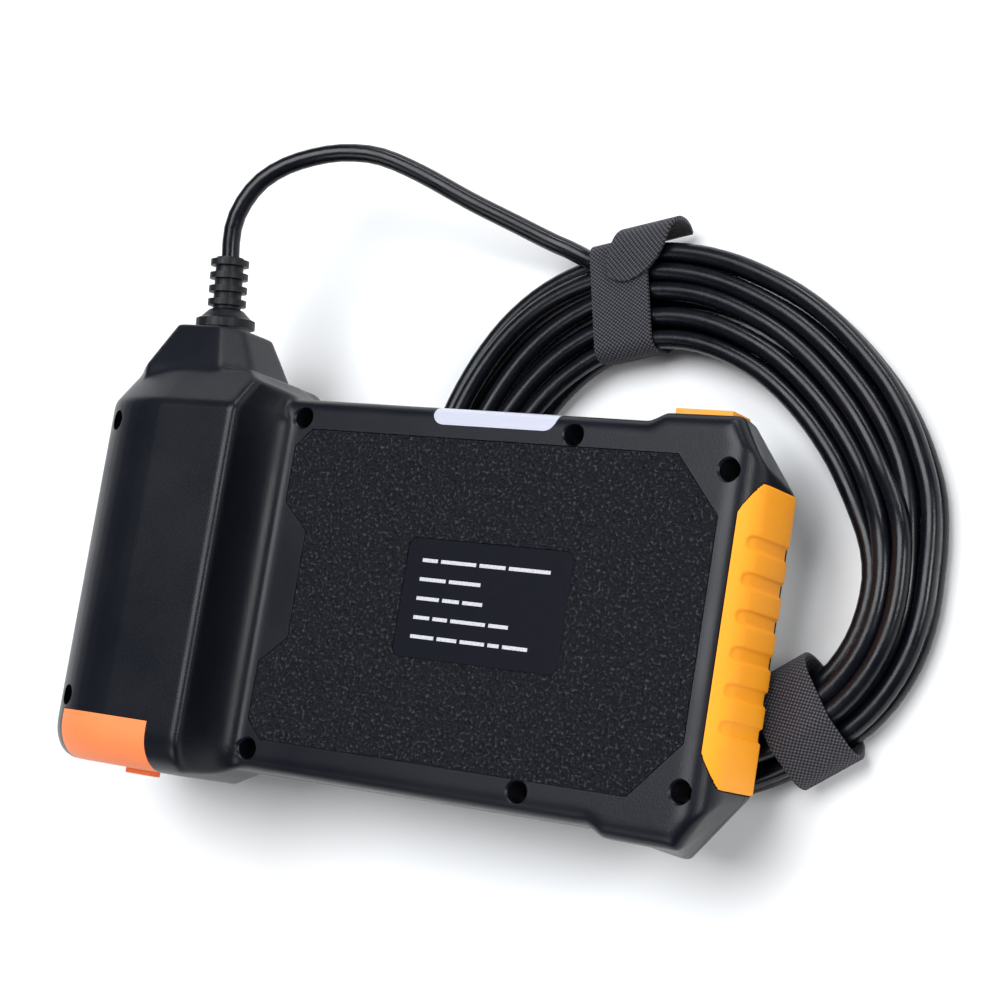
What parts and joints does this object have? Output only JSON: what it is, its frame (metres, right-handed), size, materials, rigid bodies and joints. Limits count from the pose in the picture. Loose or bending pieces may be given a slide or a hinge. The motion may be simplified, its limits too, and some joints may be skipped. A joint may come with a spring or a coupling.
{
  "type": "inspection camera",
  "caption": "Handheld inspection camera: screen handset with a battery handle, rear panel and side grip, and a long camera cable wound in a flat coil under it.",
  "frame": {"origin": "centre of the handset's box, without the cable, the ties and the camera head", "axes": "+X from the handle end to the grip end, +Y towards the cable gland, +Z out of the back, away from the screen"},
  "size_m": [0.2112, 0.162, 0.0551],
  "materials": {
    "shell": "satin moulded",
    "panel": "pebble grain",
    "label": "smooth, blank",
    "grip": "soft matte",
    "flap": "soft matte",
    "window": "diffusing",
    "rubber": "matte",
    "cable": "satin",
    "webbing": "woven",
    "glass": "polished",
    "board": "lacquered",
    "cell": "shrink sleeve",
    "frame": "plain",
    "key": "matte",
    "steel": "satin"
  },
  "bodies": {
    "handset": {"rear_shell": "shell", "front_shell": "shell", "rear_panel": "panel", "label_plate": "label", "side_grip": "grip", "top_window": "window", "screw_1": "steel", "screw_2": "steel", "screw_3": "steel", "screw_4": "steel", "screw_5": "steel", "screw_6": "steel", "screw_7": "steel", "screw_8": "steel", "screen_glass": "glass", "lcd_module": "frame", "key_mat": "rubber", "main_board": "board", "battery_cell": "cell", "battery_cradle": "frame", "port_board": "board", "usb_socket": "steel", "card_socket": "steel", "top_switch": "frame", "light_board": "board", "cable_plug": "frame", "cable_boot": "rubber", "cable_lead": "cable", "cable_coil": "cable", "cable_tail": "cable", "upper_tie": "webbing", "lower_tie": "webbing", "head_ferrule": "rubber", "camera_head": "steel", "head_lamp_ring": "window", "head_lens": "glass"},
    "flap": {"port_flap": "flap"},
    "top_button": {"top_button": "grip"},
    "power_key": {"power_key": "key"},
    "up_key": {"up_key": "key"},
    "down_key": {"down_key": "key"},
    "back_key": {"back_key": "key"},
    "menu_key": {"menu_key": "key"},
    "select_key": {"select_key": "key"},
    "record_key": {"record_key": "key"},
    "lamp_key": {"lamp_key": "key"}
  },
  "joints": [
    {"name": "flap_hinge", "type": "hinge", "parent": "handset", "child": "flap", "pos_m": [-0.065, -0.0535, 0.01995], "axis": [-1, 0, 0], "range_deg": [0, 110]},
    {"name": "top_button_press", "type": "slide", "parent": "handset", "child": "top_button", "axis": [0, -1, 0], "range_m": [0, 0.001], "stiffness_N_per_m": 400},
    {"name": "power_press", "type": "slide", "parent": "handset", "child": "power_key", "axis": [0, 0, 1], "range_m": [0, 0.0007], "stiffness_N_per_m": 300},
    {"name": "up_press", "type": "slide", "parent": "handset", "child": "up_key", "axis": [0, 0, 1], "range_m": [0, 0.0007], "stiffness_N_per_m": 300},
    {"name": "down_press", "type": "slide", "parent": "handset", "child": "down_key", "axis": [0, 0, 1], "range_m": [0, 0.0007], "stiffness_N_per_m": 300},
    {"name": "back_press", "type": "slide", "parent": "handset", "child": "back_key", "axis": [0, 0, 1], "range_m": [0, 0.0007], "stiffness_N_per_m": 300},
    {"name": "menu_press", "type": "slide", "parent": "handset", "child": "menu_key", "axis": [0, 0, 1], "range_m": [0, 0.0007], "stiffness_N_per_m": 300},
    {"name": "select_press", "type": "slide", "parent": "handset", "child": "select_key", "axis": [0, 0, 1], "range_m": [0, 0.0007], "stiffness_N_per_m": 300},
    {"name": "record_press", "type": "slide", "parent": "handset", "child": "record_key", "axis": [0, 0, 1], "range_m": [0, 0.0007], "stiffness_N_per_m": 300},
    {"name": "lamp_press", "type": "slide", "parent": "handset", "child": "lamp_key", "axis": [0, 0, 1], "range_m": [0, 0.0007], "stiffness_N_per_m": 300}
  ]
}
